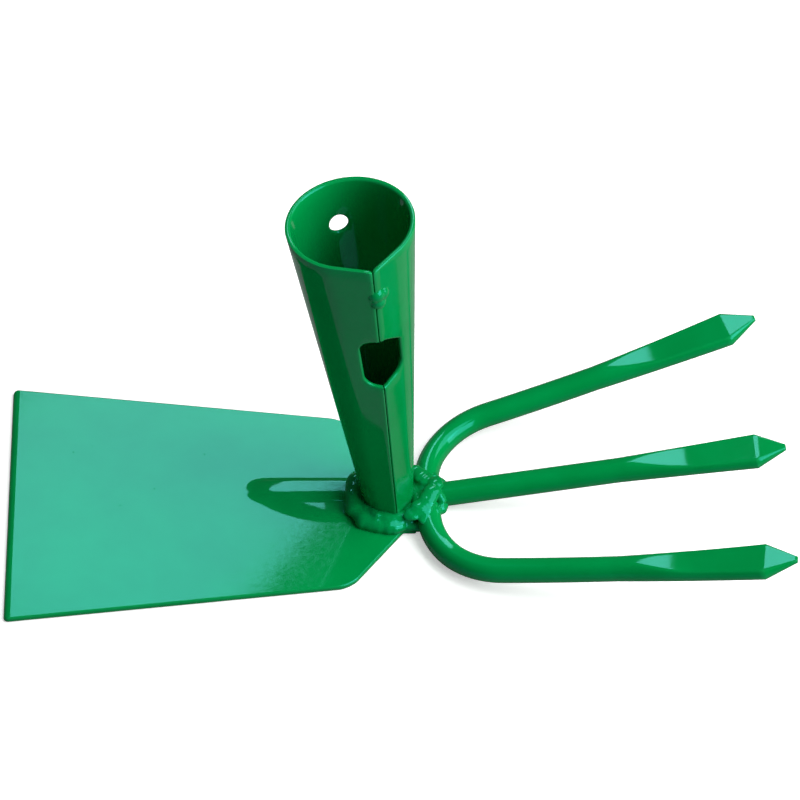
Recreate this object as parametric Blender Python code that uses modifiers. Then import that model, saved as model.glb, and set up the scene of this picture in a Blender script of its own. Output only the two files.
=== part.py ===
"""Welded double hoe head: a flat hoe blade, a three-pronged fork and a rolled handle socket.

Metres, +Z up. +X points from the blade to the prongs. The head rests on the blade's underside
and on the bow of the fork, both at z = 0, and x = 0 is half way along its overall length.
Every place below is measured from the middle of the socket's foot, which is where the head
is welded together, and one empty carries all the pieces to their place in the frame.
"""

import math

import bmesh
import bpy
from mathutils import Vector

MM = 0.001

# Clearance kept between pieces that touch.
GAP = 0.3 * MM

# Handle socket: sheet rolled into a cone, its two edges meeting as flat lips at a seam.
SOCKET_LENGTH = 127.9 * MM
SOCKET_MOUTH_RADIUS = 19.25 * MM
SOCKET_FOOT_RADIUS = 8.0 * MM
SOCKET_WALL = 1.6 * MM
SOCKET_LEAN = math.radians(8.5)
LIP_ANGLE = math.radians(32.0)
SEAM_BEARING = math.radians(-75.0)
SEAM_GAP = 0.5 * MM
SOCKET_SEGMENTS = 56

# Window cut across the seam, and the handle screw's hole on the far side.
WINDOW_HEIGHT = 83.6 * MM
WINDOW_LENGTH = 21.5 * MM
WINDOW_WIDTH = 14.0 * MM
WINDOW_SHIFT = 1.6 * MM
WINDOW_CORNER = 5.0 * MM
SCREW_HOLE_DIAMETER = 6.3 * MM
SCREW_HOLE_DROP = 16.0 * MM

# Hoe blade: a flat plate with a short neck under the socket.
BLADE_REACH = 122.4 * MM
BLADE_EDGE_WIDTH = 96.4 * MM
BLADE_THICKNESS = 2.0 * MM
SHOULDER_WIDTH = 70.3 * MM
SHOULDER_SETBACK = 13.6 * MM
SHOULDER_RADIUS = 10.0 * MM
NECK_WIDTH = 25.4 * MM
NECK_LEAD = 4.2 * MM
EDGE_CORNER_RADIUS = 1.5 * MM
EDGE_BEVEL = 1.3 * MM
EDGE_LAND = 0.7 * MM

# Rib pressed up out of the blade, running in under the foot weld.
RIB_REACH = 46.0 * MM
RIB_HEIGHT = 3.4 * MM
RIB_WIDTH = 17.0 * MM
RIB_END_LENGTH = 10.0 * MM
RIB_SINK = 2.0 * MM

# Fork: one rod bent to a bow for the two outer prongs, and one straight rod between them.
ROD_DIAMETER = 8.0 * MM
BOW_RADIUS = 27.0 * MM
BOW_STRAIGHT = 12.8 * MM
PRONG_SPLAY = math.radians(11.7)
PRONG_RISE = math.radians(12.1)
RISE_START_LENGTH = 8.0 * MM
PRONG_SWEEP_RADIUS = 714.0 * MM
OUTER_REACH = 122.0 * MM
CENTRE_REACH = 125.0 * MM
BOW_SHIFT = -1.4 * MM
BOW_YAW = math.radians(0.8)
CENTRE_RISE = math.radians(14.6)
CENTRE_YAW = math.radians(-2.1)
CENTRE_ROOT_SHIFT = 0.4 * MM
CENTRE_ROOT_LIFT = 0.3 * MM

# Prong ends: the rod is hammered flat, wide and thin, and drawn to a blunt point.
FLAT_LENGTH = 54.0 * MM
FLAT_WIDTH = 12.8 * MM
FLAT_THICKNESS = 4.5 * MM
THINNING_LENGTH = 24.0 * MM
POINT_LENGTH = 9.5 * MM
POINT_WIDTH = 1.6 * MM
POINT_THICKNESS = 1.2 * MM

# Welds.
FOOT_BEAD_RADIUS = 3.6 * MM
FOOT_BEAD_OFFSET = 1.5 * MM
FOOT_BEAD_LIFT = 0.9 * MM
FOOT_BEAD_END = math.radians(50.0)
FOOT_BEAD_LUMPS = 11
FOOT_BEAD_POINTS = 33
RIB_CLIMB = 1.3
JOINT_BEAD_RADIUS = 2.52 * MM
JOINT_BEAD_START = 6.4 * MM
JOINT_BEAD_LUMPS = 2
JOINT_BEAD_POINTS = 7
SADDLE_BEAD_RADIUS = 4.4 * MM
SADDLE_BEAD_WIDTH = 15.0 * MM
SADDLE_BEAD_OFFSET = 1.8 * MM
SADDLE_FLATTENING = 0.62
SADDLE_BEAD_LUMPS = 3
SADDLE_BEAD_POINTS = 13
PRONG_BEAD_RADIUS = 2.1 * MM
PRONG_BEAD_SPREAD = math.radians(66.0)
PRONG_BEAD_LEAD = 0.3
PRONG_BEAD_LIFT = 0.15
PRONG_BEAD_LUMPS = 4
PRONG_BEAD_POINTS = 17
LUMP_DEPTH = 0.09
BEAD_END_SIZE = 0.45
BEAD_END_GROWTH = 6.0
TACK_HEIGHT = 115.0 * MM
TACK_WIDTH = 6.0 * MM
TACK_DEPTH = 2.2 * MM

# Sizes that follow from the ones above.
ROD_RADIUS = ROD_DIAMETER / 2
SOCKET_FOOT_Z = BLADE_THICKNESS + GAP
CONE_SLOPE = (SOCKET_MOUTH_RADIUS - SOCKET_FOOT_RADIUS) / SOCKET_LENGTH
FRONT_SLOPE = math.tan(math.atan(CONE_SLOPE) - SOCKET_LEAN)
FOOT_FRONT = SOCKET_FOOT_RADIUS / math.cos(SOCKET_LEAN) + max(0.0, ROD_DIAMETER * FRONT_SLOPE)
BOW_X = FOOT_FRONT + GAP + ROD_RADIUS
BLADE_END = BOW_X - ROD_RADIUS - GAP
CENTRE_ROOT_X = BOW_X + (ROD_RADIUS + GAP) / math.cos(CENTRE_RISE)
ORIGIN_SHIFT = (BLADE_REACH - CENTRE_REACH) / 2

GREEN = (0.0, 0.28, 0.05, 1.0)
SHEET_ROUGHNESS = 0.2
WELD_ROUGHNESS = 0.3

# Edges that turn more than this are shown sharp.
SHEET_SHARP_ANGLE = math.radians(35.0)
ROD_SHARP_ANGLE = math.radians(50.0)
WELD_SHARP_ANGLE = math.radians(60.0)


# ---------------------------------------------------------------- scene and helpers

def clear_scene():
    for obj in list(bpy.data.objects):
        bpy.data.objects.remove(obj, do_unlink=True)


def new_collection(name):
    collection = bpy.data.collections.new(name)
    bpy.context.scene.collection.children.link(collection)
    return collection


def enamel(name, roughness):
    material = bpy.data.materials.new(name)
    material.use_nodes = True
    shader = material.node_tree.nodes["Principled BSDF"]
    shader.inputs["Base Color"].default_value = GREEN
    shader.inputs["Roughness"].default_value = roughness
    shader.inputs["Metallic"].default_value = 0.0
    return material


def place(obj, collection, origin, material=None):
    for other in list(obj.users_collection):
        other.objects.unlink(obj)
    collection.objects.link(obj)
    obj.parent = origin
    if material:
        obj.data.materials.clear()
        obj.data.materials.append(material)
    return obj


def as_guide(obj):
    """Mark a shape that only cuts or joins another one."""
    obj.hide_render = True
    obj.display_type = "WIRE"
    return obj


def face_outwards(bm):
    bm.normal_update()
    bmesh.ops.recalc_face_normals(bm, faces=bm.faces)


def mesh_object(name, bm):
    mesh = bpy.data.meshes.new(name)
    bm.to_mesh(mesh)
    bm.free()
    return bpy.data.objects.new(name, mesh)


def curve_to_mesh(curve_object):
    """Swap a curve object for a closed mesh with its caps welded on."""
    bpy.context.scene.collection.objects.link(curve_object)
    bpy.context.view_layer.update()
    evaluated = curve_object.evaluated_get(bpy.context.evaluated_depsgraph_get())
    mesh = bpy.data.meshes.new_from_object(evaluated)
    bm = bmesh.new()
    bm.from_mesh(mesh)
    bmesh.ops.remove_doubles(bm, verts=bm.verts, dist=0.002 * MM)
    face_outwards(bm)
    bm.to_mesh(mesh)
    bm.free()
    solid = bpy.data.objects.new(curve_object.name, mesh)
    solid.matrix_world = curve_object.matrix_world
    name = curve_object.name
    bpy.data.objects.remove(curve_object)
    solid.name = name
    return solid


def tube(name, points, radius, radii=None, resolution=4):
    """A round bar through points. radii scales it at each point."""
    curve = bpy.data.curves.new(name, "CURVE")
    curve.dimensions = "3D"
    curve.bevel_depth = radius
    curve.bevel_resolution = resolution
    curve.use_fill_caps = True
    spline = curve.splines.new("POLY")
    spline.points.add(len(points) - 1)
    for index, point in enumerate(points):
        spline.points[index].co = (*point, 1.0)
        spline.points[index].radius = radii[index] if radii else 1.0
    return curve_to_mesh(bpy.data.objects.new(name, curve))


def boolean(obj, other, operation):
    modifier = obj.modifiers.new(operation.title() + " " + other.name, "BOOLEAN")
    modifier.operation = operation
    modifier.object = other
    modifier.solver = "EXACT"


def cut(obj, *cutters):
    for cutter in cutters:
        boolean(obj, cutter, "DIFFERENCE")


def box(name, low, high):
    bm = bmesh.new()
    bmesh.ops.create_cube(bm, size=1.0)
    low, high = Vector(low), Vector(high)
    for vert in bm.verts:
        share = vert.co + Vector((0.5, 0.5, 0.5))
        vert.co = Vector(low[axis] + share[axis] * (high[axis] - low[axis]) for axis in range(3))
    return as_guide(mesh_object(name, bm))


def smooth_round(obj, sharp_angle=SHEET_SHARP_ANGLE):
    obj.data.shade_smooth()
    obj.data.set_sharp_from_angle(angle=sharp_angle)


# ---------------------------------------------------------------- socket

def socket_radius(height):
    return SOCKET_FOOT_RADIUS + CONE_SLOPE * height


def lip_stretch(bearing):
    """How much further out than the round the flat lips stand, at a bearing from the seam."""
    inside = LIP_ANGLE - abs(bearing)
    return 1.0 / math.cos(inside) if inside > 0 else 1.0


def lean(obj):
    """Stand a piece modelled round the socket's own axis in its place."""
    obj.rotation_euler = (0.0, -SOCKET_LEAN, 0.0)
    obj.location = (0.0, 0.0, SOCKET_FOOT_Z)
    return obj


def rolled_cone(name, low, high, clearance, capped):
    """The socket's outer surface between two heights along its axis, seam lips included."""
    bm = bmesh.new()
    bmesh.ops.create_cone(bm, segments=SOCKET_SEGMENTS, cap_ends=capped, cap_tris=False, depth=high - low,
                          radius1=socket_radius(low) + clearance, radius2=socket_radius(high) + clearance)
    for vert in bm.verts:
        bearing = math.atan2(vert.co.x, vert.co.y)
        radius = vert.co.xy.length * lip_stretch(bearing)
        turned = SEAM_BEARING + bearing
        vert.co.x = radius * math.cos(turned)
        vert.co.y = radius * math.sin(turned)
        vert.co.z += (low + high) / 2
    face_outwards(bm)
    return mesh_object(name, bm)


def seam_point(height, outwards, along):
    """A point on the socket's own axes, from the seam: outwards from the axis, along the round."""
    cos_seam = math.cos(SEAM_BEARING)
    sin_seam = math.sin(SEAM_BEARING)
    return Vector((outwards * cos_seam - along * sin_seam, outwards * sin_seam + along * cos_seam, height))


def window_cutter():
    """A rounded slot pushed in across the seam, as far as the socket's axis."""
    half_width = WINDOW_WIDTH / 2
    half_length = WINDOW_LENGTH / 2
    signs = ((-1, -1), (1, -1), (1, 1), (-1, 1))
    corners = [(across * half_width, up * half_length, WINDOW_CORNER) for across, up in signs]
    depth = SOCKET_MOUTH_RADIUS * 2
    cutter = outline_solid("window_cutter", rounded_outline(corners), depth)
    bm = bmesh.new()
    bm.from_mesh(cutter.data)
    for vert in bm.verts:
        along, height, outwards = vert.co
        vert.co = seam_point(WINDOW_HEIGHT + height, outwards + depth / 2, WINDOW_SHIFT + along)
    face_outwards(bm)
    bm.to_mesh(cutter.data)
    bm.free()
    return lean(as_guide(cutter))


def screw_hole_cutter():
    bm = bmesh.new()
    bmesh.ops.create_cone(bm, segments=24, cap_ends=True, radius1=SCREW_HOLE_DIAMETER / 2,
                          radius2=SCREW_HOLE_DIAMETER / 2, depth=SOCKET_MOUTH_RADIUS)
    height = SOCKET_LENGTH - SCREW_HOLE_DROP
    for vert in bm.verts:
        across, up, inwards = vert.co
        vert.co = seam_point(height + up, inwards - SOCKET_MOUTH_RADIUS, across)
    face_outwards(bm)
    return lean(as_guide(mesh_object("screw_hole_cutter", bm)))


def seam_cutter():
    """A thin slit along the whole seam, through the wall on that side only."""
    low = (0.0, -SEAM_GAP / 2, -SOCKET_LENGTH)
    high = (SOCKET_MOUTH_RADIUS * 2, SEAM_GAP / 2, SOCKET_LENGTH * 2)
    cutter = box("seam_cutter", low, high)
    bm = bmesh.new()
    bm.from_mesh(cutter.data)
    for vert in bm.verts:
        vert.co = seam_point(vert.co.z, vert.co.x, vert.co.y)
    bm.to_mesh(cutter.data)
    bm.free()
    return lean(cutter)


def below_foot(name):
    """All the space under the level of the socket's foot."""
    return box(name, (-BLADE_REACH, -BLADE_REACH, -BLADE_REACH), (BLADE_REACH, BLADE_REACH, SOCKET_FOOT_Z))


def make_socket(parts, guides, origin, material):
    overrun = SOCKET_FOOT_RADIUS
    socket = lean(rolled_cone("socket", -overrun, SOCKET_LENGTH + overrun, 0.0, capped=False))
    place(socket, parts, origin, material)
    wall = socket.modifiers.new("Wall", "SOLIDIFY")
    wall.thickness = SOCKET_WALL
    wall.offset = -1.0
    wall.use_even_offset = True
    below = below_foot("socket_foot_cutter")
    reach = SOCKET_MOUTH_RADIUS * 2
    mouth_low = (-reach, -reach, SOCKET_LENGTH)
    above = lean(box("socket_mouth_cutter", mouth_low, (reach, reach, SOCKET_LENGTH + reach)))
    for cutter in (below, above, seam_cutter(), window_cutter(), screw_hole_cutter()):
        place(cutter, guides, origin)
        cut(socket, cutter)
    smooth_round(socket)
    return socket


# ---------------------------------------------------------------- blade

def rounded_outline(corners, steps=6):
    """Points of a closed outline. Each corner is (x, y, radius) and becomes an arc."""
    points = []
    for index, (x, y, radius) in enumerate(corners):
        corner = Vector((x, y))
        before = (Vector(corners[index - 1][:2]) - corner).normalized()
        after = (Vector(corners[(index + 1) % len(corners)][:2]) - corner).normalized()
        half = before.angle(after) / 2
        if radius <= 0 or abs(half - math.pi / 2) < 0.01:
            points.append(corner)
            continue
        centre = corner + (before + after).normalized() * (radius / math.sin(half))
        start = corner + before * (radius / math.tan(half)) - centre
        end = corner + after * (radius / math.tan(half)) - centre
        sweep = start.angle_signed(end)
        for step in range(steps + 1):
            turn = -sweep * step / steps
            points.append(centre + Vector((start.x * math.cos(turn) - start.y * math.sin(turn),
                                           start.x * math.sin(turn) + start.y * math.cos(turn))))
    return points


def outline_solid(name, points, thickness):
    """A flat outline given a thickness, centred on its own plane."""
    curve = bpy.data.curves.new(name, "CURVE")
    curve.dimensions = "2D"
    curve.fill_mode = "BOTH"
    curve.extrude = thickness / 2
    spline = curve.splines.new("POLY")
    spline.use_cyclic_u = True
    spline.points.add(len(points) - 1)
    for index, point in enumerate(points):
        spline.points[index].co = (point.x, point.y, 0.0, 1.0)
    return curve_to_mesh(bpy.data.objects.new(name, curve))


def blade_corners():
    edge = BLADE_EDGE_WIDTH / 2
    shoulder = SHOULDER_WIDTH / 2
    neck = NECK_WIDTH / 2
    near_side = [(-BLADE_REACH, -edge, EDGE_CORNER_RADIUS), (-SHOULDER_SETBACK, -shoulder, SHOULDER_RADIUS),
                 (NECK_LEAD, -neck, 0.0), (BLADE_END, -neck, 0.0)]
    far_side = [(x, -y, radius) for x, y, radius in reversed(near_side)]
    return near_side + far_side


def rib_solid(name, inner_end, clearance, drop):
    """A long rounded ridge lying along the blade, its underside well below the sheet."""
    half_width = RIB_WIDTH / 2 + clearance
    height = RIB_HEIGHT + RIB_SINK + clearance
    middle = BLADE_THICKNESS - RIB_SINK - drop
    bm = bmesh.new()
    bmesh.ops.create_uvsphere(bm, u_segments=24, v_segments=13, radius=1.0)
    for vert in bm.verts:
        across, up, along = vert.co
        end = inner_end - RIB_END_LENGTH if along > 0 else RIB_END_LENGTH - RIB_REACH
        x = end + along * (RIB_END_LENGTH + clearance)
        vert.co = Vector((x, across * half_width, middle + up * height))
    face_outwards(bm)
    return as_guide(mesh_object(name, bm))


def cut_flat(obj, height):
    """Take away all of a closed shape below a height and close it again."""
    bm = bmesh.new()
    bm.from_mesh(obj.data)
    everything = bm.verts[:] + bm.edges[:] + bm.faces[:]
    bmesh.ops.bisect_plane(bm, geom=everything, plane_co=(0.0, 0.0, height), plane_no=(0.0, 0.0, 1.0),
                           clear_inner=True)
    rim = [edge for edge in bm.edges if edge.is_boundary]
    bmesh.ops.edgeloop_fill(bm, edges=rim)
    face_outwards(bm)
    bm.to_mesh(obj.data)
    bm.free()
    return obj


def edge_cutter():
    """A block whose slanted underside grinds the cutting edge down to its land."""
    reach = BLADE_EDGE_WIDTH
    cutter = box("edge_cutter", (-reach, -reach, 0.0), (reach, reach, reach))
    cutter.location = (-BLADE_REACH, 0.0, EDGE_LAND)
    cutter.rotation_euler = (0.0, -math.atan2(BLADE_THICKNESS - EDGE_LAND, EDGE_BEVEL), 0.0)
    return cutter


def make_blade(parts, guides, origin, material, socket_space):
    blade = outline_solid("blade", rounded_outline(blade_corners()), BLADE_THICKNESS)
    for vert in blade.data.vertices:
        vert.co.z += BLADE_THICKNESS / 2
    place(blade, parts, origin, material)
    dent_end = FOOT_FRONT + BLADE_THICKNESS + GAP
    rib = place(cut_flat(rib_solid("rib_form", 0.0, 0.0, 0.0), BLADE_THICKNESS / 2), guides, origin)
    dent = place(rib_solid("rib_dent", -dent_end, 0.0, BLADE_THICKNESS), guides, origin)
    grinding = place(edge_cutter(), guides, origin)
    cut(rib, socket_space)
    boolean(blade, rib, "UNION")
    cut(blade, dent, grinding)
    return blade


# ---------------------------------------------------------------- fork

def rise(x):
    """Height of an outer prong's centre line above the ground at x."""
    run = max(0.0, x - BOW_X)
    slope = math.tan(PRONG_RISE)
    if run < RISE_START_LENGTH:
        return ROD_RADIUS + slope * run * run / (2 * RISE_START_LENGTH)
    past = run - RISE_START_LENGTH / 2
    return ROD_RADIUS + slope * past + past * past / (2 * PRONG_SWEEP_RADIUS)


def bow_length():
    """Half the bent rod's length in plan: half the straight, one bend and one prong."""
    turn = math.pi / 2 - PRONG_SPLAY
    bend_x = BOW_X + BOW_RADIUS * (1 - math.cos(turn))
    return BOW_STRAIGHT / 2 + BOW_RADIUS * turn + (OUTER_REACH - bend_x) / math.sin(turn)


def bow_point(distance):
    """Centre line of the bent rod, at a distance in plan from its middle."""
    side = -1.0 if distance < 0 else 1.0
    past_straight = max(0.0, abs(distance) - BOW_STRAIGHT / 2)
    turn = math.pi / 2 - PRONG_SPLAY
    bend = min(past_straight / BOW_RADIUS, turn)
    arm = max(0.0, past_straight - BOW_RADIUS * turn)
    out = BOW_RADIUS * (1 - math.cos(bend)) + arm * math.sin(turn)
    across = min(abs(distance), BOW_STRAIGHT / 2) + BOW_RADIUS * math.sin(bend) + arm * math.cos(turn)
    return Vector((BOW_X + out, side * across + BOW_SHIFT + out * math.tan(BOW_YAW), rise(BOW_X + out)))


def centre_point(distance):
    """Centre line of the middle prong, at a distance along it from its root."""
    flat = distance * math.cos(CENTRE_RISE)
    x = CENTRE_ROOT_X + flat * math.cos(CENTRE_YAW)
    y = CENTRE_ROOT_SHIFT + flat * math.sin(CENTRE_YAW)
    return Vector((x, y, ROD_RADIUS + CENTRE_ROOT_LIFT + distance * math.sin(CENTRE_RISE)))


def ease(share):
    share = min(1.0, max(0.0, share))
    return share * share * (3 - 2 * share)


def hammered(from_tip):
    """Width and thickness of a prong, as shares of the rod's, at a distance from its tip."""
    if from_tip < POINT_LENGTH:
        share = from_tip / POINT_LENGTH
        width = POINT_WIDTH + (FLAT_WIDTH - POINT_WIDTH) * share
        thickness = POINT_THICKNESS + (FLAT_THICKNESS - POINT_THICKNESS) * share
    else:
        spread = max(0.0, (FLAT_LENGTH - from_tip) / (FLAT_LENGTH - POINT_LENGTH))
        width = ROD_DIAMETER + (FLAT_WIDTH - ROD_DIAMETER) * spread
        thinning = ease((FLAT_LENGTH - from_tip) / THINNING_LENGTH)
        thickness = ROD_DIAMETER + (FLAT_THICKNESS - ROD_DIAMETER) * thinning
    return width / ROD_DIAMETER, thickness / ROD_DIAMETER


def spaced(low, high, step):
    count = max(1, math.ceil((high - low) / step))
    return [low + (high - low) * index / count for index in range(count + 1)]


def prong_stations(length):
    """Distances from the root at which a prong gets a ring of points, closest near its tip."""
    tip = length - POINT_LENGTH
    flat = length - FLAT_LENGTH
    stations = spaced(0.0, flat, 6 * MM) + spaced(flat, flat + THINNING_LENGTH, 4 * MM)[1:]
    stations += spaced(flat + THINNING_LENGTH, tip, 10 * MM)[1:] + spaced(tip, length, 5 * MM)[1:]
    return stations


def bent_bar(name, stations, centre_line, from_tip, clearance=0.0):
    """A straight bar, hammered at its ends and then bent to a centre line."""
    bar = tube(name, [(station, 0.0, 0.0) for station in stations], ROD_RADIUS + clearance)
    step = 0.05 * MM
    for vert in bar.data.vertices:
        station, across, up = vert.co
        wide, thick = hammered(from_tip(station))
        here = centre_line(station)
        along = (centre_line(station + step) - centre_line(station - step)).normalized()
        sideways = Vector((0.0, 0.0, 1.0)).cross(along).normalized()
        vert.co = here + sideways * across * wide + along.cross(sideways) * up * thick
    smooth_round(bar, ROD_SHARP_ANGLE)
    return bar


def outer_bow(name, clearance=0.0):
    half = bow_length()
    side = prong_stations(half)
    stations = [-station for station in reversed(side)] + side[1:]
    return bent_bar(name, stations, bow_point, lambda station: half - abs(station), clearance)


def centre_prong(name, clearance=0.0):
    length = (CENTRE_REACH - CENTRE_ROOT_X) / (math.cos(CENTRE_RISE) * math.cos(CENTRE_YAW))
    stations = [-clearance] + prong_stations(length)[1:]
    return bent_bar(name, stations, centre_point, lambda station: length - station, clearance)


# ---------------------------------------------------------------- welds

def lump(index, count, lumps):
    """Swelling of a weld bead at one of its points: ripples, and ends that close."""
    share = index / (count - 1)
    ripple = 1 + LUMP_DEPTH * math.sin(share * lumps * 2 * math.pi)
    end = min(1.0, BEAD_END_SIZE + BEAD_END_GROWTH * min(share, 1 - share))
    return ripple * end


def bead(name, points, radius, lumps):
    count = len(points)
    return tube(name, points, radius, [lump(index, count, lumps) for index in range(count)], resolution=2)


def over_rib(x, y):
    """How far the foot bead climbs to pass over the rib."""
    if x > 0:
        return 0.0
    return RIB_HEIGHT * ease(RIB_CLIMB * (1 - abs(y) / (RIB_WIDTH / 2)))


def foot_bead():
    """Round the back of the socket's foot, from the bow on one side to the bow on the other."""
    ring = SOCKET_FOOT_RADIUS + FOOT_BEAD_OFFSET
    points = []
    count = FOOT_BEAD_POINTS
    for index in range(count):
        turn = FOOT_BEAD_END + (2 * math.pi - 2 * FOOT_BEAD_END) * index / (count - 1)
        x = ring * math.cos(turn)
        y = ring * math.sin(turn)
        points.append((x, y, SOCKET_FOOT_Z + FOOT_BEAD_LIFT + over_rib(x, y)))
    return bead("foot_weld", points, FOOT_BEAD_RADIUS, FOOT_BEAD_LUMPS)


def joint_bead(side):
    """Out from the foot bead along the joint of the blade's neck and the bow."""
    radius = JOINT_BEAD_RADIUS
    inner = JOINT_BEAD_START
    outer = NECK_WIDTH / 2
    count = JOINT_BEAD_POINTS
    points = []
    for index in range(count):
        y = side * (inner + (outer - inner) * index / (count - 1))
        points.append((BLADE_END - radius / 2, y, SOCKET_FOOT_Z + FOOT_BEAD_LIFT / 2))
    return as_guide(bead("joint_bead", points, radius, JOINT_BEAD_LUMPS))


def saddle_bead():
    """Over the top of the bow, filling the corner between it and the socket's front."""
    points = []
    count = SADDLE_BEAD_POINTS
    top = ROD_DIAMETER + GAP
    for index in range(count):
        y = SADDLE_BEAD_WIDTH * (index / (count - 1) - 0.5)
        points.append((BOW_X - SADDLE_BEAD_OFFSET, y, top))
    weld = bead("saddle_weld", points, SADDLE_BEAD_RADIUS, SADDLE_BEAD_LUMPS)
    for vert in weld.data.vertices:
        vert.co.z = top + (vert.co.z - top) * SADDLE_FLATTENING
    return weld


def prong_bead(name, clearance=0.0):
    """Over the root of the middle prong, in the corner that it makes with the bow."""
    root = centre_point(0.0)
    ring = ROD_RADIUS + PRONG_BEAD_RADIUS * PRONG_BEAD_LIFT
    points = []
    count = PRONG_BEAD_POINTS
    for index in range(count):
        turn = PRONG_BEAD_SPREAD * (2 * index / (count - 1) - 1)
        y = root.y + ring * math.sin(turn)
        z = root.z + ring * math.cos(turn)
        points.append((root.x - PRONG_BEAD_RADIUS * PRONG_BEAD_LEAD, y, z))
    return bead(name, points, PRONG_BEAD_RADIUS + clearance, PRONG_BEAD_LUMPS)


def tack_bead():
    """One blob of weld that holds the seam's lips together near the mouth."""
    bm = bmesh.new()
    bmesh.ops.create_uvsphere(bm, u_segments=20, v_segments=12, radius=1.0)
    ridge = socket_radius(TACK_HEIGHT) / math.cos(LIP_ANGLE)
    depth = TACK_DEPTH + ridge * (1 - math.cos(LIP_ANGLE))
    for vert in bm.verts:
        outwards, along, up = vert.co
        distance = ridge - depth + TACK_DEPTH + outwards * depth
        vert.co = seam_point(TACK_HEIGHT + up * TACK_WIDTH / 2, distance, along * TACK_WIDTH / 2)
    face_outwards(bm)
    return lean(mesh_object("seam_tack_weld", bm))


def make_welds(parts, guides, origin, material, socket_space):
    bow_space = place(as_guide(outer_bow("bow_space", GAP)), guides, origin)
    prong_space = place(as_guide(centre_prong("prong_space", GAP)), guides, origin)
    prong_weld_space = place(as_guide(prong_bead("prong_weld_space", GAP)), guides, origin)
    rib_space = place(rib_solid("rib_space", 0.0, GAP, 0.0), guides, origin)
    ground = place(below_foot("blade_space"), guides, origin)
    foot = foot_bead()
    for side in (-1, 1):
        boolean(foot, place(joint_bead(side), guides, origin), "UNION")
    neighbours = {
        foot: (socket_space, rib_space, ground, bow_space),
        saddle_bead(): (socket_space, bow_space, prong_weld_space),
        prong_bead("centre_prong_weld"): (bow_space, prong_space, ground),
        tack_bead(): (socket_space,),
    }
    for weld, spaces in neighbours.items():
        place(weld, parts, origin, material)
        cut(weld, *spaces)
        smooth_round(weld, WELD_SHARP_ANGLE)


# ---------------------------------------------------------------- assembly

def main():
    clear_scene()
    parts = new_collection("double_hoe_head")
    guides = new_collection("guides")
    origin = bpy.data.objects.new("foot_centre", None)
    origin.location = (ORIGIN_SHIFT, 0.0, 0.0)
    parts.objects.link(origin)
    sheet_enamel = enamel("green_enamel", SHEET_ROUGHNESS)
    weld_enamel = enamel("green_enamel_on_weld", WELD_ROUGHNESS)
    below = -2 * SOCKET_FOOT_RADIUS
    socket_space = rolled_cone("socket_space", below, SOCKET_LENGTH + GAP, GAP, capped=True)
    place(as_guide(lean(socket_space)), guides, origin)
    make_socket(parts, guides, origin, sheet_enamel)
    make_blade(parts, guides, origin, sheet_enamel, socket_space)
    place(outer_bow("outer_prongs"), parts, origin, sheet_enamel)
    place(centre_prong("centre_prong"), parts, origin, sheet_enamel)
    make_welds(parts, guides, origin, weld_enamel, socket_space)


main()
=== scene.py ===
import math
import random

import bmesh
import bpy
from mathutils import Matrix, Vector


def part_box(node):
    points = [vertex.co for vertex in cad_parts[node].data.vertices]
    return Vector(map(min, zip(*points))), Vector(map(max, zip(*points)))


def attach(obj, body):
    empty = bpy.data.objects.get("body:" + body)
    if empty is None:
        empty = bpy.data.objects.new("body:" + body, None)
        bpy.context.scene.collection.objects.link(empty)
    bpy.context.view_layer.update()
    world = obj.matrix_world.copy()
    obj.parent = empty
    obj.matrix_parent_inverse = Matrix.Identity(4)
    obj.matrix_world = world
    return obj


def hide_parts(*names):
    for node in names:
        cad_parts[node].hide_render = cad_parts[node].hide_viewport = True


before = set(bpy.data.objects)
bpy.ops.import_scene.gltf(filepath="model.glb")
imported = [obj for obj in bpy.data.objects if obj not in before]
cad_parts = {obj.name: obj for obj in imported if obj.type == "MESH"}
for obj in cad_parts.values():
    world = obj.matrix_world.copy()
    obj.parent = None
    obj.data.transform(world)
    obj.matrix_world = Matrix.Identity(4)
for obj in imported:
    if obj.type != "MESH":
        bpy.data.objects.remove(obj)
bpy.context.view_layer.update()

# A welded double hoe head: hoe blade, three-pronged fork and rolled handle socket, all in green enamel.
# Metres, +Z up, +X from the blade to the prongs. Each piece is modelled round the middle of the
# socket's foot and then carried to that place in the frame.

MM = 0.001

blade_low, blade_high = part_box("blade")
socket_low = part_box("socket")[0]
bow_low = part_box("outer_prongs")[0]
centre_low, centre_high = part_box("centre_prong")

# Blade.
BLADE_REACH = 122.4 * MM
BLADE_EDGE_WIDTH = blade_high.y - blade_low.y
BLADE_THICKNESS = 2.0 * MM
SHOULDER_WIDTH = 70.3 * MM
SHOULDER_SETBACK = 13.6 * MM
SHOULDER_RADIUS = 10.0 * MM
NECK_WIDTH = 25.4 * MM
NECK_LEAD = 4.2 * MM
EDGE_CORNER_RADIUS = 1.5 * MM
EDGE_GRIND = 2.2 * MM
EDGE_THINNING = 0.6
EDGE_STEP = 0.2 * MM
RIM_ROUND = 0.6 * MM
RIM_SHARP_ANGLE = math.radians(40)
BLADE_SMOOTHING = 35

# Rib of the blade. Far and near are its sides at +Y and -Y of the blade's middle.
RIB_REACH = 47.5 * MM
RIB_END_ROUNDING = 4 * MM
RIB_FAR_SIDE = 9.6 * MM
RIB_NEAR_SIDE = -9.4 * MM
RIB_SLOPE = 2.6 * MM
NEAR_SLOPE = 1.4 * RIB_SLOPE
RIDGE_HEIGHT = 0.7 * MM
RIDGE_NEAR_SIDE = -1.4 * MM
RIDGE_END_LENGTH = 9.5 * MM
TERRACE_HEIGHT = 0.9 * MM
TERRACE_END_LENGTH = 16.0 * MM
TERRACE_DIP = 0.4
DIP_START = 21 * MM
DIP_LENGTH = 9 * MM
RIB_STEP = 0.5 * MM

FOOT = Vector((blade_low.x + BLADE_REACH, 0.0, 0.0))

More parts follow.
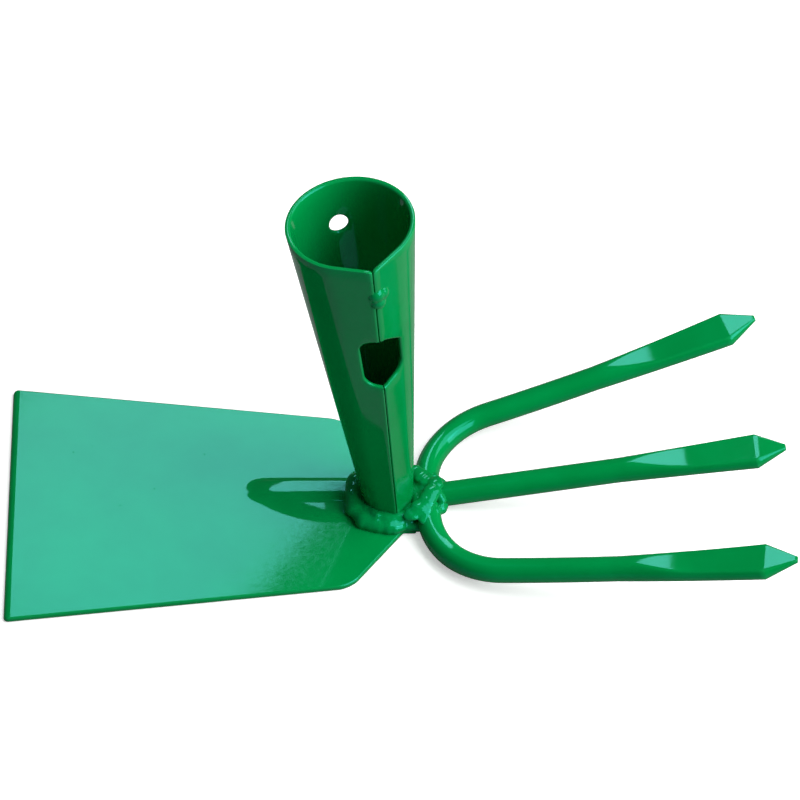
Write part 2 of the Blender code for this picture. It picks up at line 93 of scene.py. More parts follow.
# Socket.
SOCKET_LENGTH = 127.9 * MM
SOCKET_MOUTH_RADIUS = 19.25 * MM
SOCKET_FOOT_RADIUS = 8.0 * MM
SOCKET_WALL = 1.6 * MM
SOCKET_LEAN = math.radians(8.5)
SOCKET_FOOT_Z = socket_low.z
LIP_ANGLE = math.radians(32.0)
SEAM_BEARING = math.radians(-75.0)
SEAM_GAP = 0.12 * MM
SHEET_ROUND = 0.72 * MM
SHEET_SHARP_ANGLE = math.radians(60)
SHEET_SMOOTHING = 40
BLANK_OVERRUN = 4 * MM
LIP_STEP = 2 * MM
ROUND_STEP = 0.85 * MM
HEIGHT_STEP = 5 * MM
CONE_SLOPE = (SOCKET_MOUTH_RADIUS - SOCKET_FOOT_RADIUS) / SOCKET_LENGTH
# The window is cut in the flat blank, which is as wide as the socket is round at the window's height.
WINDOW_RADIUS = SOCKET_FOOT_RADIUS + CONE_SLOPE * 83.6 * MM
# Corners of the window in millimetres: (along the wall from the seam, height, radius).
WINDOW_CORNERS = [(-5.4, 72.9, 4.2), (0.2, 72.0, 3.0), (8.5, 74.6, 4.6), (7.7, 88.4, 1.5), (0.4, 94.9, 3.0),
                  (-5.5, 92.8, 5.0)]
SCREW_HOLE_RADIUS = 3.15 * MM
SCREW_HOLE_DROP = 16.0 * MM

# Fork.
ROD_RADIUS = 4.0 * MM
BOW_X = bow_low.x + ROD_RADIUS - FOOT.x
BOW_RADIUS = 27.0 * MM
BOW_STRAIGHT = 12.8 * MM
PRONG_SPLAY = math.radians(11.7)
PRONG_RISE = math.radians(12.1)
RISE_START_LENGTH = 8.0 * MM
PRONG_SWEEP_RADIUS = 714.0 * MM
OUTER_REACH = 122.0 * MM
CENTRE_REACH = centre_high.x - FOOT.x
BOW_SHIFT = -1.4 * MM
BOW_YAW = math.radians(0.8)
CENTRE_ROOT_X = centre_low.x - FOOT.x + ROD_RADIUS * 0.25
CENTRE_RISE = math.radians(14.6)
CENTRE_YAW = math.radians(-2.1)
CENTRE_ROOT_SHIFT = 0.4 * MM
CENTRE_ROOT_LIFT = 0.3 * MM
FLAT_LENGTH = 54.0 * MM
FLAT_HALF_WIDTH = 6.4 * MM
FLAT_HALF_THICKNESS = 2.25 * MM
THINNING_LENGTH = 24.0 * MM
POINT_LENGTH = 9.5 * MM
POINT_HALF_WIDTH = 0.9 * MM
POINT_HALF_THICKNESS = 0.7 * MM
HAMMERED_EDGE = 0.35 * MM
PRONG_STEP = 1 * MM
PRONG_RIM_ROUND = 0.25 * MM
PRONG_SHARP_ANGLE = math.radians(70)
PRONG_SMOOTHING = 32

# Welds. A drop's shape is its width and height as shares of its radius.
DROP_SPACING = 1.1
DROP_SCATTER = 0.09
DROP_WIDTH = 0.9
ROUND_DROP = 0.85
FLAT_DROP = 0.45
TACK_HEIGHT = 115.0 * MM


# ---------------------------------------------------------------- modelling by hand

def deselect_all():
    if bpy.context.object and bpy.context.object.mode != "OBJECT":
        bpy.ops.object.mode_set(mode="OBJECT")
    bpy.ops.object.select_all(action="DESELECT")


def start(name, add, **size):
    """Add a primitive where it is needed and give it the piece's name."""
    deselect_all()
    add(**size)
    piece = bpy.context.object
    piece.name = name
    piece.data.name = name
    bpy.ops.object.transform_apply(location=True, rotation=True, scale=True)
    return piece


def take(piece):
    deselect_all()
    piece.select_set(True)
    bpy.context.view_layer.objects.active = piece


def edit(piece):
    take(piece)
    bpy.ops.object.mode_set(mode="EDIT")


def leave():
    bpy.ops.object.mode_set(mode="OBJECT")


def pick(piece, kind, wanted):
    """Select the points, edges or faces that pass a test, and nothing else."""
    bpy.ops.mesh.select_mode(type=kind)
    bpy.ops.mesh.select_all(action="DESELECT")
    form = bmesh.from_edit_mesh(piece.data)
    for item in {"VERT": form.verts, "EDGE": form.edges, "FACE": form.faces}[kind]:
        if wanted(item):
            item.select_set(True)
    form.select_flush_mode()
    bmesh.update_edit_mesh(piece.data)


def middle(edge):
    return (edge.verts[0].co + edge.verts[1].co) / 2


def is_upright(edge):
    along = edge.verts[1].co - edge.verts[0].co
    return along.xy.length < 0.1 * abs(along.z)


def is_sharp(edge, angle):
    return len(edge.link_faces) == 2 and edge.calc_face_angle(0.0) > angle


def slice_at(piece, places, axis):
    """Cut new edge loops round the whole piece at places along an axis."""
    normal = Vector((0.0, 0.0, 0.0))
    normal[axis] = 1.0
    for place in places:
        bpy.ops.mesh.select_all(action="SELECT")
        point = normal * place
        bpy.ops.mesh.bisect(plane_co=point, plane_no=normal)


def merge_doubles(distance):
    bpy.ops.mesh.select_all(action="SELECT")
    bpy.ops.mesh.remove_doubles(threshold=distance)


def modify(piece, kind, **settings):
    """Put one modifier on a piece and apply it."""
    take(piece)
    modifier = piece.modifiers.new(kind.title(), kind)
    for setting, value in settings.items():
        setattr(modifier, setting, value)
    bpy.ops.object.modifier_apply(modifier=modifier.name)


def cut_out(piece, cutter):
    modify(piece, "BOOLEAN", object=cutter, operation="DIFFERENCE", solver="EXACT")
    bpy.data.objects.remove(cutter)


def move_points(piece, moved):
    for point in piece.data.vertices:
        point.co = moved(point.co)
    piece.data.update()


def smooth(piece, degrees):
    take(piece)
    bpy.ops.object.shade_smooth_by_angle(angle=math.radians(degrees))


def carry(piece, spot):
    """Carry a piece to its spot and leave its place in its mesh."""
    take(piece)
    piece.location = spot
    bpy.ops.object.transform_apply(location=True, rotation=True, scale=True)


def prism(name, corners, bottom, top):
    """A block with upright sides through corners (x, y, radius), each rounded by its radius."""
    block = start(name, bpy.ops.mesh.primitive_circle_add, vertices=len(corners), radius=1.0,
                  fill_type="NGON")
    for point, (x, y, radius) in zip(block.data.vertices, corners):
        point.co = (x, y, bottom)
    edit(block)
    bpy.ops.mesh.select_all(action="SELECT")
    bpy.ops.mesh.extrude_region_move(TRANSFORM_OT_translate={"value": (0.0, 0.0, top - bottom)})
    bpy.ops.mesh.select_all(action="SELECT")
    bpy.ops.mesh.normals_make_consistent(inside=False)
    for index, (x, y, radius) in enumerate(corners):
        if radius > 0:
            corner = Vector((x, y))
            before = Vector(corners[index - 1][:2]) - corner
            after = Vector(corners[(index + 1) % len(corners)][:2]) - corner
            reach = radius / math.tan(before.angle(after) / 2)
            pick(block, "EDGE",
                 lambda edge: is_upright(edge) and (middle(edge).xy - corner).length < 0.05 * MM)
            bpy.ops.mesh.bevel(offset=reach, segments=8, affect="EDGES")
    leave()
    return block


def round_rims(piece, offset, angle):
    pick(piece, "EDGE", lambda edge: is_sharp(edge, angle))
    bpy.ops.mesh.bevel(offset=offset, segments=3, affect="EDGES")


def evenly(low, high, step):
    count = max(1, math.ceil((high - low) / step))
    return [low + (high - low) * index / count for index in range(count + 1)]


def ease(share):
    share = min(1.0, max(0.0, share))
    return share * share * (3 - 2 * share)


# ---------------------------------------------------------------- socket

def socket_radius(height):
    return SOCKET_FOOT_RADIUS + CONE_SLOPE * height


def rolled(point):
    """Roll the flat blank: x runs round the socket from its seam, y up it, z out through its wall."""
    bearing = point.x / WINDOW_RADIUS
    from_seam = min(bearing, 2 * math.pi - bearing)
    inside_lip = max(0.0, LIP_ANGLE - from_seam)
    radius = (socket_radius(point.y) - SOCKET_WALL + point.z) / math.cos(inside_lip)
    turned = SEAM_BEARING + bearing
    return Vector((radius * math.cos(turned), radius * math.sin(turned), point.y))


def make_socket():
    girth = 2 * math.pi * WINDOW_RADIUS
    blank = start("rolled_socket", bpy.ops.mesh.primitive_plane_add, size=1.0)
    edit(blank)
    bpy.ops.transform.resize(value=(girth - SEAM_GAP, SOCKET_LENGTH + BLANK_OVERRUN, 1.0))
    bpy.ops.transform.translate(value=(girth / 2, (SOCKET_LENGTH - BLANK_OVERRUN) / 2, 0.0))
    bpy.ops.mesh.extrude_region_move(TRANSFORM_OT_translate={"value": (0.0, 0.0, SOCKET_WALL)})
    bpy.ops.mesh.select_all(action="SELECT")
    bpy.ops.mesh.normals_make_consistent(inside=False)
    leave()
    window = [(x * MM, y * MM, radius * MM) for x, y, radius in WINDOW_CORNERS]
    for edge_x in (0.0, girth):
        notch = prism("window_notch", window, -SOCKET_WALL, 2 * SOCKET_WALL)
        carry(notch, (edge_x, 0.0, 0.0))
        cut_out(blank, notch)
    hole = start("screw_hole", bpy.ops.mesh.primitive_cylinder_add, vertices=40, radius=SCREW_HOLE_RADIUS,
                 depth=4 * SOCKET_WALL, location=(girth / 2, SOCKET_LENGTH - SCREW_HOLE_DROP, 0.0))
    squeeze = WINDOW_RADIUS / socket_radius(SOCKET_LENGTH - SCREW_HOLE_DROP)
    move_points(hole, lambda co: Vector((girth / 2 + (co.x - girth / 2) * squeeze, co.y, co.z)))
    cut_out(blank, hole)
    edit(blank)
    round_rims(blank, SHEET_ROUND, SHEET_SHARP_ANGLE)
    lip = LIP_ANGLE * WINDOW_RADIUS
    slice_at(blank, evenly(0.0, lip, LIP_STEP)[1:] + evenly(lip, girth - lip, ROUND_STEP)[1:]
             + evenly(girth - lip, girth, LIP_STEP)[1:-1], 0)
    slice_at(blank, evenly(0.0, SOCKET_LENGTH, HEIGHT_STEP)[1:-1], 1)
    merge_doubles(0.01 * MM)
    leave()
    move_points(blank, rolled)
    blank.rotation_euler.y = -SOCKET_LEAN
    carry(blank, FOOT + Vector((0.0, 0.0, SOCKET_FOOT_Z)))
    edit(blank)
    bpy.ops.mesh.select_all(action="SELECT")
    bpy.ops.mesh.bisect(plane_co=(0.0, 0.0, SOCKET_FOOT_Z), plane_no=(0.0, 0.0, 1.0), clear_inner=True,
                        use_fill=True)
    leave()
    smooth(blank, SHEET_SMOOTHING)
    return blank


# ---------------------------------------------------------------- blade

def rib_lift(x, y):
    """Height of the pressed rib: a ridge on its far half, a lower terrace on its near half."""
    middle_y = (RIB_FAR_SIDE + RIDGE_NEAR_SIDE) / 2
    rounding = RIB_END_ROUNDING * ((y - middle_y) / (RIB_FAR_SIDE - middle_y)) ** 2
    to_end = x + RIB_REACH - rounding
    far_slope = ease((RIB_FAR_SIDE - y) / RIB_SLOPE)
    far_half = ease((y - RIDGE_NEAR_SIDE) / NEAR_SLOPE)
    ridge = far_slope * far_half * ease(to_end / RIDGE_END_LENGTH)
    terrace = far_slope * ease((y - RIB_NEAR_SIDE) / NEAR_SLOPE) * ease(to_end / TERRACE_END_LENGTH)
    terrace *= 1 - TERRACE_DIP * (1 - far_half) * ease((x + DIP_START) / DIP_LENGTH)
    return RIDGE_HEIGHT * ridge + TERRACE_HEIGHT * terrace


def edge_share(x):
    """Share of the blade's thickness left near its cutting edge, where the top is ground round."""
    share = min(0.98, max(0.0, (EDGE_GRIND - BLADE_REACH - x) / EDGE_GRIND))
    return 1 - EDGE_THINNING * (1 - math.sqrt(1 - share * share))


def make_blade():
    edge = BLADE_EDGE_WIDTH / 2
    shoulder = SHOULDER_WIDTH / 2
    neck = NECK_WIDTH / 2
    neck_end = BOW_X - ROD_RADIUS
    near_side = [(-BLADE_REACH, -edge, EDGE_CORNER_RADIUS), (-SHOULDER_SETBACK, -shoulder, SHOULDER_RADIUS),
                 (NECK_LEAD, -neck, 0.0), (neck_end, -neck, 0.0)]
    far_side = [(x, -y, radius) for x, y, radius in reversed(near_side)]
    blade = prism("hoe_blade", near_side + far_side, 0.0, BLADE_THICKNESS)
    edit(blade)
    round_rims(blade, RIM_ROUND, RIM_SHARP_ANGLE)
    slice_at(blade, evenly(RIM_ROUND - BLADE_REACH, EDGE_GRIND - BLADE_REACH, EDGE_STEP), 0)
    slice_at(blade, evenly(-RIB_REACH, neck_end - 1 * MM, RIB_STEP), 0)
    slice_at(blade, evenly(RIB_NEAR_SIDE, RIB_FAR_SIDE, RIB_STEP), 1)
    merge_doubles(0.01 * MM)
    leave()
    move_points(blade, lambda co: Vector((co.x, co.y, co.z * edge_share(co.x) + rib_lift(co.x, co.y))))
    smooth(blade, BLADE_SMOOTHING)
    modify(blade, "WEIGHTED_NORMAL", keep_sharp=True, weight=80)
    carry(blade, FOOT)
    return blade


# ---------------------------------------------------------------- fork

def rise(x):
    """Height of an outer prong's centre line above the ground at x."""
    run = max(0.0, x - BOW_X)
    slope = math.tan(PRONG_RISE)
    if run < RISE_START_LENGTH:
        return ROD_RADIUS + slope * run * run / (2 * RISE_START_LENGTH)
    past = run - RISE_START_LENGTH / 2
    return ROD_RADIUS + slope * past + past * past / (2 * PRONG_SWEEP_RADIUS)


def bow_point(distance):
    """Centre line of the bent rod, at a distance in plan from its middle."""
    side = -1.0 if distance < 0 else 1.0
    past_straight = max(0.0, abs(distance) - BOW_STRAIGHT / 2)
    turn = math.pi / 2 - PRONG_SPLAY
    bend = min(past_straight / BOW_RADIUS, turn)
    arm = max(0.0, past_straight - BOW_RADIUS * turn)
    out = BOW_RADIUS * (1 - math.cos(bend)) + arm * math.sin(turn)
    across = min(abs(distance), BOW_STRAIGHT / 2) + BOW_RADIUS * math.sin(bend) + arm * math.cos(turn)
    return Vector((BOW_X + out, side * across + BOW_SHIFT + out * math.tan(BOW_YAW), rise(BOW_X + out)))


def centre_point(distance):
    """Centre line of the middle prong, at a distance along it from its root."""
    flat = distance * math.cos(CENTRE_RISE)
    return Vector((CENTRE_ROOT_X + flat * math.cos(CENTRE_YAW),
                   CENTRE_ROOT_SHIFT + flat * math.sin(CENTRE_YAW),
                   ROD_RADIUS + CENTRE_ROOT_LIFT + distance * math.sin(CENTRE_RISE)))


def hammered(from_tip):
    """Half width and half thickness of a prong at a distance from its tip."""
    if from_tip < POINT_LENGTH:
        share = from_tip / POINT_LENGTH
        return (POINT_HALF_WIDTH + (FLAT_HALF_WIDTH - POINT_HALF_WIDTH) * share,
                POINT_HALF_THICKNESS + (FLAT_HALF_THICKNESS - POINT_HALF_THICKNESS) * share)
    spread = max(0.0, (FLAT_LENGTH - from_tip) / (FLAT_LENGTH - POINT_LENGTH))
    thinning = ease((FLAT_LENGTH - from_tip) / THINNING_LENGTH)
    return (ROD_RADIUS + (FLAT_HALF_WIDTH - ROD_RADIUS) * spread,
            ROD_RADIUS + (FLAT_HALF_THICKNESS - ROD_RADIUS) * thinning)


def struck(up, half_thickness):
    """Press a round bar's top and bottom down to flats with a small soft edge."""
    level = abs(up)
    sunk = level - half_thickness
    if sunk > HAMMERED_EDGE:
        pressed = half_thickness
    elif sunk > -HAMMERED_EDGE:
        pressed = level - (sunk + HAMMERED_EDGE) ** 2 / (4 * HAMMERED_EDGE)
    else:
        pressed = level
    return math.copysign(pressed, up)


def make_prong(name, low, high, centre_line, from_tip):
    """A straight bar hammered flat towards its tips, then bent to its centre line."""
    bar = start(name, bpy.ops.mesh.primitive_cylinder_add, vertices=56, radius=ROD_RADIUS, depth=high - low,
                location=((low + high) / 2, 0.0, 0.0), rotation=(0.0, math.pi / 2, 0.0))
    places = []
    for place in evenly(low, high, PRONG_STEP)[1:-1]:
        near_shoulder = abs(from_tip(place) - POINT_LENGTH) < 0.6 * MM
        if from_tip(place) < FLAT_LENGTH + 2 * MM and not near_shoulder or round(place / MM) % 2 == 0:
            places.append(place)
    shoulders = [high - POINT_LENGTH] + ([low + POINT_LENGTH] if from_tip(low) < POINT_LENGTH else [])
    edit(bar)
    slice_at(bar, places + shoulders, 0)
    merge_doubles(0.05 * MM)
    leave()
    step = 0.05 * MM

    def bent(point):
        half_width, half_thickness = hammered(from_tip(point.x))
        here = centre_line(point.x)
        along = (centre_line(point.x + step) - centre_line(point.x - step)).normalized()
        sideways = Vector((0.0, 0.0, 1.0)).cross(along).normalized()
        normal = along.cross(sideways)
        if from_tip(point.x) < POINT_LENGTH:
            up = struck(point.z * half_thickness / FLAT_HALF_THICKNESS, half_thickness)
        else:
            up = struck(point.z, half_thickness)
        return here + sideways * point.y * (half_width / ROD_RADIUS) + normal * up

    move_points(bar, bent)
    edit(bar)
    round_rims(bar, PRONG_RIM_ROUND, PRONG_SHARP_ANGLE)
    leave()
    smooth(bar, PRONG_SMOOTHING)
    carry(bar, FOOT)
    return bar


def make_bow():
    turn = math.pi / 2 - PRONG_SPLAY
    bend_x = BOW_X + BOW_RADIUS * (1 - math.cos(turn))
    half = BOW_STRAIGHT / 2 + BOW_RADIUS * turn + (OUTER_REACH - bend_x) / math.sin(turn)
    return make_prong("bent_outer_prongs", -half, half, bow_point, lambda place: half - abs(place))


def make_centre_prong():
    length = (CENTRE_REACH - CENTRE_ROOT_X) / (math.cos(CENTRE_RISE) * math.cos(CENTRE_YAW))
    return make_prong("straight_centre_prong", 0.0, length, centre_point, lambda place: length - place)


# ---------------------------------------------------------------- welds

def puddle(name, drops, grain, rounds):
    """Weld metal: drops of (centre, radii, turn) run together into one skin."""
    pieces = []
    for centre, radii, turn in drops:
        drop = start(name, bpy.ops.mesh.primitive_uv_sphere_add, segments=24, ring_count=16, radius=1.0)
        drop.scale = radii
        drop.rotation_euler.z = turn
        drop.location = centre
        bpy.ops.object.transform_apply(location=True, rotation=True, scale=True)
        pieces.append(drop)
    deselect_all()
    for drop in pieces:
        drop.select_set(True)
    bpy.context.view_layer.objects.active = pieces[0]
    bpy.ops.object.join()
    weld = bpy.context.object
    weld.name = name
    modify(weld, "REMESH", mode="VOXEL", voxel_size=grain, use_smooth_shade=True)
    modify(weld, "SMOOTH", factor=0.5, iterations=rounds)
    bpy.ops.object.shade_smooth()
    carry(weld, FOOT)
    return weld


def run_of_weld(chance, stations, spacing=DROP_SPACING, height=ROUND_DROP):
    """Drops laid along a run of weld. Stations are (x, y, z, radius) in millimetres."""
    drops = []
    for before, after in zip(stations, stations[1:]):
        gap = Vector(after[:3]) - Vector(before[:3])
        count = max(1, round(gap.length / spacing))
        for index in range(count):
            share = index / count
            spot = Vector(before[:3]) + gap * share
            scatter = 1 + DROP_SCATTER * chance.uniform(-1, 1)
            radius = (before[3] + (after[3] - before[3]) * share) * scatter
            sizes = (radius, radius * DROP_WIDTH, radius * height)
            drops.append((spot * MM, [size * MM for size in sizes], chance.uniform(0, math.pi)))
    return drops


def make_foot_weld():
    chance = random.Random(7)
    collar = [(3.0, 13.2, 3.4, 2.6), (-2.5, 11.4, 3.6, 3.0), (-7.5, 9.6, 4.4, 2.9),
              (-11.0, 5.0, 5.8, 2.9), (-12.2, -0.5, 5.4, 2.8), (-11.6, -5.5, 4.2, 2.9),
              (-8.6, -9.6, 3.3, 3.0), (-4.0, -11.4, 3.1, 3.0), (0.8, -12.2, 3.1, 2.8),
              (3.6, -11.8, 3.0, 2.4)]
    inner = [(-8.6, 5.4, 4.6, 2.0), (-9.6, 0.0, 4.6, 2.0), (-8.8, -5.0, 4.0, 2.4),
             (-4.6, -8.8, 4.2, 2.6), (0.5, -10.0, 4.4, 2.6), (5.6, -9.0, 4.6, 2.6), (6.8, -5.0, 4.6, 2.4)]
    far_joint = [(-3.0, 9.0, 4.2, 2.4), (3.0, 9.6, 4.4, 2.6), (6.6, 6.6, 4.4, 2.6), (7.2, 10.4, 3.2, 2.4)]
    web = [(3.8, -10.9, 2.3, 2.1), (7.4, -11.0, 2.3, 2.1), (10.8, -11.4, 2.5, 2.1)]
    glint = [(-5.2, -8.9, 5.6, 1.4), (-3.6, -10.2, 6.0, 1.5)]
    drops = []
    for stations in (collar, inner, far_joint, web, glint):
        drops += run_of_weld(chance, stations)
    return puddle("foot_fillet_weld", drops, grain=0.4 * MM, rounds=9)


def make_saddle_weld():
    chance = random.Random(11)
    bed = [(11.6, -6.4, 6.2, 3.0), (11.4, -1.0, 5.2, 3.2), (11.6, 6.4, 6.2, 3.0)]
    pocket = [(9.2, -7.0, 5.6, 2.2), (8.9, 0.0, 5.2, 2.2), (9.2, 6.4, 5.6, 2.2)]
    back_patch = [(8.9, 7.6, 7.8, 2.4), (10.6, 5.0, 8.1, 2.8), (12.6, 2.4, 8.4, 2.6)]
    diagonal = [(15.2, 2.0, 9.0, 2.4), (13.6, -2.0, 8.9, 3.0), (11.9, -5.4, 8.5, 3.2),
                (8.6, -8.8, 7.6, 2.9), (5.0, -11.0, 6.4, 2.2)]
    branch = [(11.6, -7.0, 8.2, 2.6), (10.9, -10.0, 7.4, 2.4), (10.2, -13.0, 6.4, 2.0)]
    drops = run_of_weld(chance, bed) + run_of_weld(chance, pocket)
    for stations in (back_patch, diagonal, branch):
        drops += run_of_weld(chance, stations, height=FLAT_DROP)
    return puddle("bow_saddle_weld", drops, grain=0.35 * MM, rounds=4)


def make_root_weld():
    chance = random.Random(5)
    spur = [(14.8, 0.8, 8.0, 1.7), (15.8, -3.0, 7.6, 1.8), (17.4, -4.9, 6.4, 1.3)]
    far_fillet = [(14.4, 6.4, 5.8, 2.1), (16.6, 4.4, 5.2, 2.0), (18.6, 3.6, 5.0, 1.2)]
    near_fillet = [(14.2, -8.2, 5.6, 2.2), (16.2, -6.0, 5.0, 2.1), (18.2, -4.2, 4.8, 1.2)]
    drops = []
    for stations in (spur, far_fillet, near_fillet):
        drops += run_of_weld(chance, stations, spacing=0.9)
    return puddle("centre_root_weld", drops, grain=0.35 * MM, rounds=4)


def make_tack_weld():
    ridge = socket_radius(TACK_HEIGHT) / math.cos(LIP_ANGLE)
    drops = []
    for along, up, size, sunk in ((0.7, 1.3, 2.7, 1.8), (1.0, -1.7, 2.5, 1.7), (2.8, 0.8, 2.3, 2.3)):
        bearing = SEAM_BEARING + along * MM / ridge
        out = ridge - sunk * MM
        spot = Vector((out * math.cos(bearing), out * math.sin(bearing), TACK_HEIGHT + up * MM))
        spot = Matrix.Rotation(-SOCKET_LEAN, 3, "Y") @ spot + Vector((0.0, 0.0, SOCKET_FOOT_Z))
        drops.append((spot, (size * MM, size * MM, size * MM), 0.0))
    return puddle("lip_tack_weld", drops, grain=0.25 * MM, rounds=14)


# ---------------------------------------------------------------- finishes

def linear(hex_colour):
    """An sRGB hex colour as linear red, green, blue and alpha."""
    channels = [int(hex_colour[index:index + 2], 16) / 255 for index in (1, 3, 5)]
    return tuple(value / 12.92 if value <= 0.04045 else ((value + 0.055) / 1.055) ** 2.4
                 for value in channels) + (1.0,)


def add_node(material, kind, links=None, **settings):
    """Add one node, with its settings, its inputs' values and the outputs that feed it."""
    node = material.node_tree.nodes.new(kind)
    for setting, value in settings.items():
        setattr(node, setting, value)
    for socket, value in (links or {}).items():
        if isinstance(value, bpy.types.NodeSocket):
            material.node_tree.links.new(value, node.inputs[socket])
        else:
            node.inputs[socket].default_value = value
    return node


def set_ramp(node, stops):
    ramp = node.color_ramp
    for index, (place, colour) in enumerate(stops):
        stop = ramp.elements[index] if index < 2 else ramp.elements.new(place)
        stop.position = place
        stop.color = colour
    return node


def green_enamel(name, colour, deep, thin_coat_and_highlight, wave_length, wave_height, speck_share):
    """Dipped green enamel on steel: a wet gloss over slow waves and fine orange peel, a few dust nibs
    under the skin, and a lighter green along the edges that is partly a thinner coat and partly a painted
    highlight."""
    material = bpy.data.materials.new(name)
    material.use_nodes = True
    material.node_tree.nodes.clear()
    place = add_node(material, "ShaderNodeTexCoord").outputs["Object"]
    clouds = add_node(material, "ShaderNodeTexNoise",
                      {"Vector": place, "Scale": 1 / (22 * MM), "Detail": 3.0})
    tone = set_ramp(add_node(material, "ShaderNodeValToRGB", {"Fac": clouds.outputs["Fac"]}),
                    [(0.35, linear(deep)), (0.65, linear(colour))])
    # Lighter green on sharp edges: partly a thinner coat, partly a painted highlight along the edges.
    edges = add_node(material, "ShaderNodeNewGeometry").outputs["Pointiness"]
    edge_thin_coat_and_highlight = add_node(material, "ShaderNodeMapRange", {"Value": edges, "From Min": 0.52, "From Max": 0.62,
                                                      "To Min": 0.0, "To Max": 0.5})
    edge_lightened_tone = add_node(material, "ShaderNodeMix", {0: edge_thin_coat_and_highlight.outputs["Result"], 6: tone.outputs["Color"],
                                                 7: linear(thin_coat_and_highlight)}, data_type="RGBA")
    nibs = add_node(material, "ShaderNodeTexVoronoi", {"Vector": place, "Scale": 1 / (9 * MM)})
    nib = set_ramp(add_node(material, "ShaderNodeValToRGB", {"Fac": nibs.outputs["Distance"]}),
                   [(0.0, (1.0, 1.0, 1.0, 1.0)), (speck_share, (0.0, 0.0, 0.0, 1.0))])
    specked = add_node(material, "ShaderNodeMix", {0: nib.outputs["Color"], 6: edge_lightened_tone.outputs[2],
                                                    7: linear(deep)}, data_type="RGBA")
    peel = add_node(material, "ShaderNodeTexNoise",
                    {"Vector": place, "Scale": 1 / (1.6 * MM), "Detail": 2.0})
    waves = add_node(material, "ShaderNodeTexNoise",
                     {"Vector": place, "Scale": 1 / wave_length, "Detail": 1.0})
    gloss = add_node(material, "ShaderNodeMapRange", {"Value": peel.outputs["Fac"], "From Min": 0.3,
                                                       "From Max": 0.7, "To Min": 0.05, "To Max": 0.09})
    wavy = add_node(material, "ShaderNodeBump", {"Height": waves.outputs["Fac"], "Strength": 1.0,
                                                  "Distance": wave_height})
    peeled = add_node(material, "ShaderNodeBump",
                      {"Height": peel.outputs["Fac"], "Strength": 1.0, "Distance": 0.004 * MM,
                       "Normal": wavy.outputs["Normal"]})
    nibbed = add_node(material, "ShaderNodeBump",
                      {"Height": nib.outputs["Color"], "Strength": 1.0, "Distance": 0.08 * MM,
                       "Normal": peeled.outputs["Normal"]})
    shader = add_node(material, "ShaderNodeBsdfPrincipled",
                      {"Base Color": specked.outputs[2], "Roughness": gloss.outputs["Result"],
                       "Normal": nibbed.outputs["Normal"], "IOR": 1.52, "Specular Tint": linear("#52EFFF")})
    add_node(material, "ShaderNodeOutputMaterial", {"Surface": shader.outputs["BSDF"]})
    return material


def plain_floor():
    """Pale matt studio paper. The camera sees it bright. Reflections and bounced light see it dimmer, so
    that it throws little light back up on the object."""
    material = bpy.data.materials.new("pale_studio_floor")
    material.use_nodes = True
    material.node_tree.nodes.clear()
    ray = add_node(material, "ShaderNodeLightPath").outputs["Is Camera Ray"]
    paper = add_node(material, "ShaderNodeBsdfDiffuse", {"Color": linear("#F4F6F5")})
    glow = add_node(material, "ShaderNodeEmission", {"Color": linear("#FFFFFF"), "Strength": 0.45})
    pale = add_node(material, "ShaderNodeAddShader",
                    {0: paper.outputs["BSDF"], 1: glow.outputs["Emission"]})
    dim = add_node(material, "ShaderNodeBsdfDiffuse", {"Color": linear("#8C9490")})
    mixed = add_node(material, "ShaderNodeMixShader",
                     {0: ray, 1: dim.outputs["BSDF"], 2: pale.outputs["Shader"]})
    add_node(material, "ShaderNodeOutputMaterial", {"Surface": mixed.outputs["Shader"]})
    return material


def dress(piece, material):
    piece.data.materials.clear()
    piece.data.materials.append(material)


# ---------------------------------------------------------------- studio

def make_studio():
    deselect_all()
    bpy.ops.mesh.primitive_plane_add(size=8.0, location=(0.0, 0.0, -0.05 * MM))
    floor = bpy.context.object
    floor.name = "studio_floor"
    bpy.ops.object.mode_set(mode="EDIT")
    bpy.ops.mesh.select_all(action="SELECT")
    bpy.ops.mesh.subdivide(number_cuts=4)
    leave()
    dress(floor, plain_floor())
    world = bpy.data.worlds.new("studio_air")
    bpy.context.scene.world = world
    world.use_nodes = True
    background = world.node_tree.nodes["Background"]
    background.inputs["Color"].default_value = linear("#E8F4F0")
    background.inputs["Strength"].default_value = 0.07


def add_softbox(name, spot, turn, size, watts):
    """A flat soft white light. Turn is its rotation, and unturned it shines straight down."""
    deselect_all()
    bpy.ops.object.light_add(type="AREA", location=spot, rotation=turn)
    lamp = bpy.context.object
    lamp.name = name
    lamp.data.shape = "RECTANGLE"
    lamp.data.size, lamp.data.size_y = size
    lamp.data.energy = watts
    return lamp


def facing(spot, target):
    return (Vector(target) - Vector(spot)).to_track_quat("-Z", "Y").to_euler()


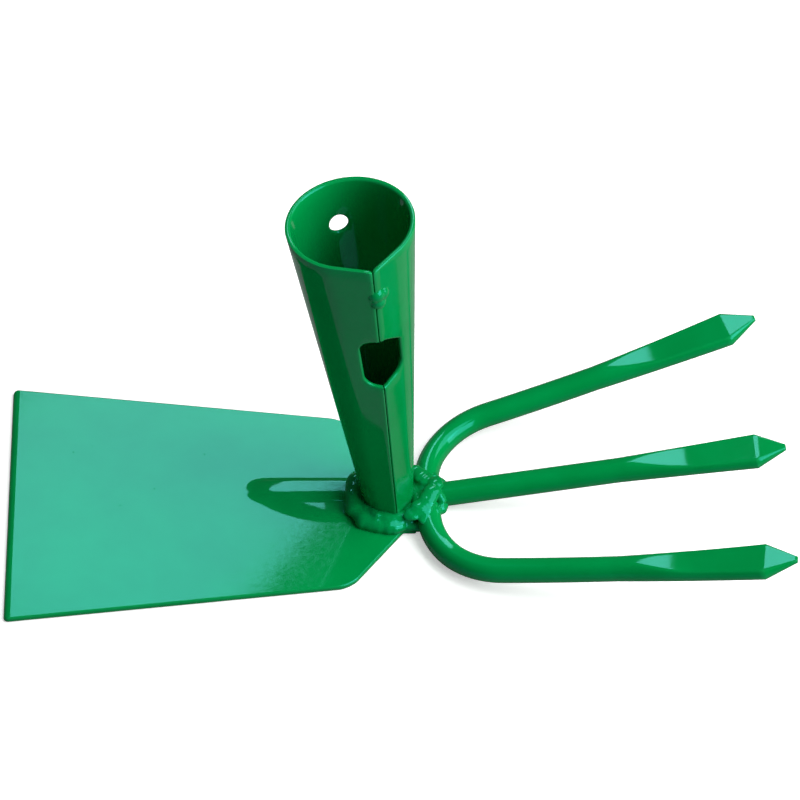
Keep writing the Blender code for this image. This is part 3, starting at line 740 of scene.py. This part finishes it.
def light_studio():
    # The first box is the one mirrored in the blade. Its near edge ends that mirror image by the socket.
    add_softbox("blade_softbox", spot=(0.193, 2.176, 2.0), turn=(0.0, 0.0, math.radians(58.9)),
                size=(1.7, 0.43), watts=13.5)
    side = (0.95, -0.55, 0.75)
    add_softbox("side_softbox", spot=side, turn=facing(side, (0.0, 0.0, 0.05)), size=(1.0, 1.0), watts=15.0)
    high = (0.7, 0.08, 1.15)
    add_softbox("high_softbox", spot=high, turn=facing(high, (0.0, 0.0, 0.0)), size=(1.05, 1.05),
                watts=12.0)
    fill = add_softbox("top_fill", spot=(0.1, -0.1, 1.6), turn=(0.0, 0.0, 0.0), size=(1.2, 1.2), watts=4.0)
    fill.visible_glossy = False


def place_camera():
    deselect_all()
    bpy.ops.object.camera_add()
    camera = bpy.context.object
    camera.name = "studio_camera"
    right = Vector((0.9967, -0.0521, 0.0617))
    back = Vector((-0.0807, -0.6631, 0.7442)).normalized()
    up = back.cross(right).normalized()
    right = up.cross(back)
    turned = Matrix((right, up, back)).transposed().to_4x4()
    camera.matrix_world = Matrix.Translation((-0.07622, -0.6208, 0.7475)) @ turned
    camera.data.sensor_width = 36.0
    camera.data.lens = 135.0
    camera.data.clip_end = 20.0
    bpy.context.scene.camera = camera


# ---------------------------------------------------------------- assembly

place_camera()
make_studio()
light_studio()
bpy.context.scene.view_settings.view_transform = "Standard"

# The thin colour is the lighter edge green: partly a thinner coat, partly a painted highlight.
sheet_enamel = green_enamel("dipped_green_enamel", colour="#009247", deep="#008B42", thin_coat_and_highlight="#2FB070",
                            wave_length=15 * MM, wave_height=0.010 * MM, speck_share=0.03)
rod_enamel = green_enamel("dipped_green_enamel_on_rod", colour="#009247", deep="#008A40", thin_coat_and_highlight="#2FB070",
                          wave_length=15 * MM, wave_height=0.012 * MM, speck_share=0.02)
weld_enamel = green_enamel("dipped_green_enamel_on_weld", colour="#00904A", deep="#00813C", thin_coat_and_highlight="#2FB070",
                           wave_length=4 * MM, wave_height=0.06 * MM, speck_share=0.06)

pieces = [
    (make_socket(), "socket", "green_enamel", sheet_enamel),
    (make_blade(), "blade", "green_enamel", sheet_enamel),
    (make_bow(), "outer_prongs", "green_enamel", rod_enamel),
    (make_centre_prong(), "centre_prong", "green_enamel", rod_enamel),
    (make_foot_weld(), "foot_weld", "enamelled_weld", weld_enamel),
    (make_saddle_weld(), "saddle_weld", "enamelled_weld", weld_enamel),
    (make_root_weld(), "centre_prong_weld", "enamelled_weld", weld_enamel),
    (make_tack_weld(), "seam_tack_weld", "enamelled_weld", weld_enamel),
]
for piece, node, slot, finish in pieces:
    dress(piece, finish)
    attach(piece, "root")
    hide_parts(node)
